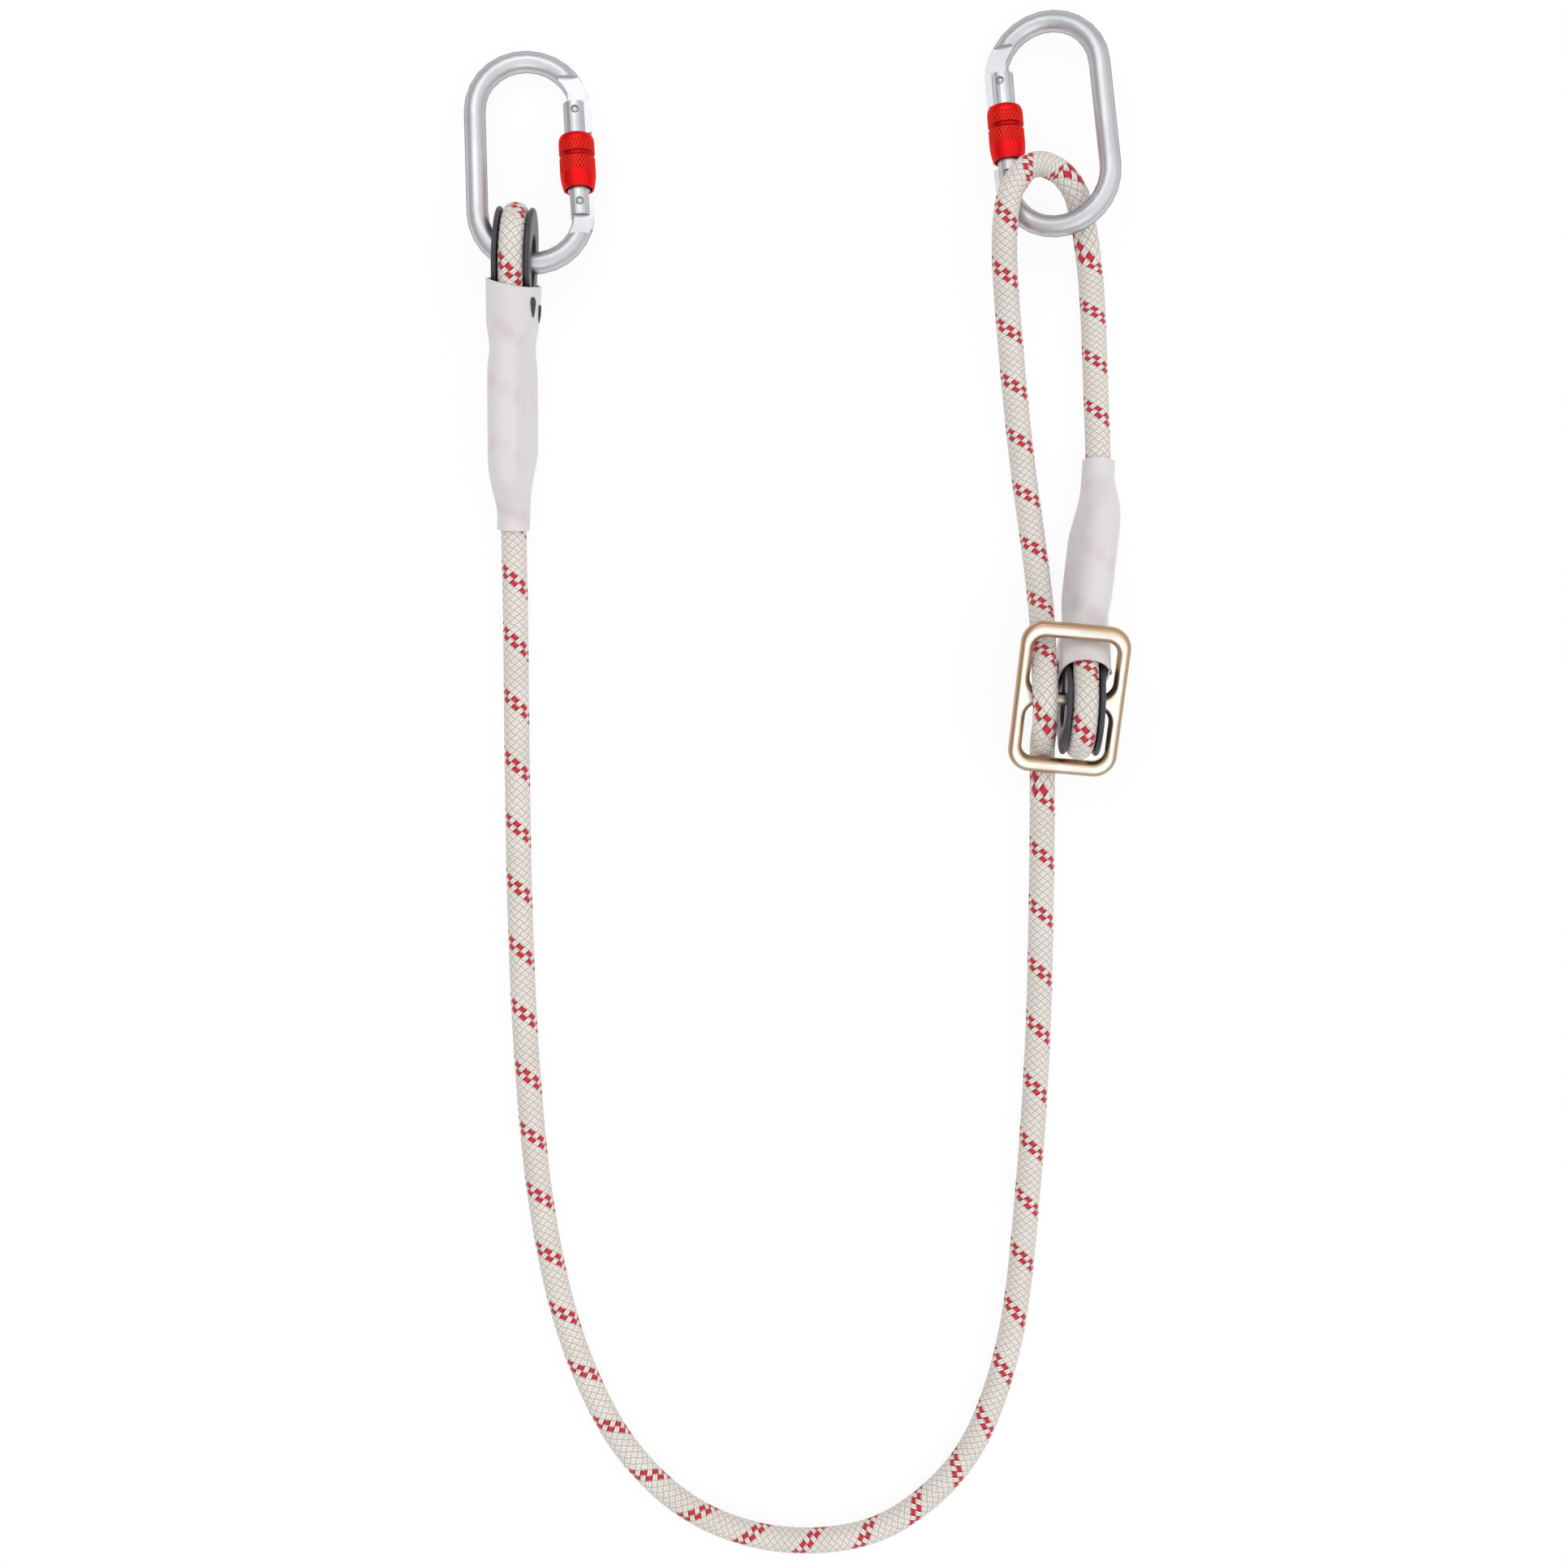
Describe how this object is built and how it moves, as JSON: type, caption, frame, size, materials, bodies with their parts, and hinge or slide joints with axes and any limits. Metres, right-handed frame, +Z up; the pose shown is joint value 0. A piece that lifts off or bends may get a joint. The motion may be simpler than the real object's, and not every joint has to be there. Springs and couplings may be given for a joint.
{
  "type": "tree climbing lanyard",
  "caption": "Adjustable rope lanyard with thimble eyes in clear sleeves, steel oval screw-gate carabiners with red sleeves, and a two-window adjuster ring.",
  "frame": {"origin": "centre of the laid-out hardware's footprint, on the surface it lies on", "axes": "+Z up from the surface; +Y from the rope's bend towards the carabiners; +X from the fixed eye's side to the adjuster's side"},
  "size_m": [0.3058, 0.7168, 0.0469],
  "materials": {
    "zinc_steel": "bright zinc plate over forged steel",
    "rivet_steel": "plain rivet heads with a ring mark",
    "spring_steel": "plain wire",
    "brass": "turned, plain",
    "red_aluminium": "red anodised, diagonal knurl on the upper bands",
    "yellow_zinc": "yellow passivated zinc over forged steel",
    "black_plastic": "moulded, satin",
    "clear_vinyl": "frosted translucent tube, shrunk on",
    "rope": "braided off-white sheath with red marker yarns",
    "thread": "whipped thread"
  },
  "bodies": {
    "lanyard": {"rope": "rope", "left_rope_eye": "rope", "left_thimble": "black_plastic", "left_clear_sleeve": "clear_vinyl", "left_seizing": "thread", "right_rope_eye": "rope", "right_thimble": "black_plastic", "right_clear_sleeve": "clear_vinyl", "right_seizing": "thread"},
    "left_carabiner": {"left_clip_frame": "zinc_steel"},
    "left_gate": {"left_gate": "zinc_steel", "left_hinge_pin": "rivet_steel", "left_latch_pin": "rivet_steel", "left_plunger": "brass", "left_gate_spring": "spring_steel"},
    "left_screw_sleeve": {"left_screw_sleeve": "red_aluminium"},
    "right_carabiner": {"right_clip_frame": "zinc_steel"},
    "right_gate": {"right_gate": "zinc_steel", "right_hinge_pin": "rivet_steel", "right_latch_pin": "rivet_steel", "right_plunger": "brass", "right_gate_spring": "spring_steel"},
    "right_screw_sleeve": {"right_screw_sleeve": "red_aluminium"},
    "adjuster": {"adjuster_ring": "yellow_zinc"}
  },
  "joints": [
    {"name": "left_carabiner_swing", "type": "hinge", "parent": "lanyard", "child": "left_carabiner", "pos_m": [-0.12673, 0.05969, 0.02093], "axis": [0.9715, -0.2284, -0.063], "range_deg": [0, 100]},
    {"name": "left_gate_hinge", "type": "hinge", "parent": "left_carabiner", "child": "left_gate", "pos_m": [-0.09914, 0.08777, 0.014], "axis": [0.0982, 0.1463, 0.9844], "range_deg": [0, 25], "stiffness_Nm_per_rad": 0.02, "springref_deg": -17.19},
    {"name": "left_screw_slide", "type": "slide", "parent": "left_gate", "child": "left_screw_sleeve", "axis": [0.064, -0.988, 0.1404], "range_m": [0, 0.003]},
    {"name": "right_carabiner_swing", "type": "hinge", "parent": "lanyard", "child": "right_carabiner", "pos_m": [0.12162, 0.10028, 0.01999], "axis": [0.3344, -0.0864, -0.9385], "range_deg": [-2, 25]},
    {"name": "right_gate_hinge", "type": "hinge", "parent": "right_carabiner", "child": "right_gate", "pos_m": [0.10007, 0.10138, 0.01221], "axis": [0.3344, -0.0864, -0.9385], "range_deg": [0, 25], "stiffness_Nm_per_rad": 0.02, "springref_deg": -17.19},
    {"name": "right_screw_slide", "type": "slide", "parent": "right_gate", "child": "right_screw_sleeve", "axis": [0.0668, -0.9911, 0.1151], "range_m": [0, 0.003]},
    {"name": "adjuster_rock", "type": "hinge", "parent": "lanyard", "child": "adjuster", "pos_m": [0.1258, -0.1417, 0.0272], "axis": [0.9962, -0.0872, 0], "range_deg": [-1.5, 0.8]}
  ]
}
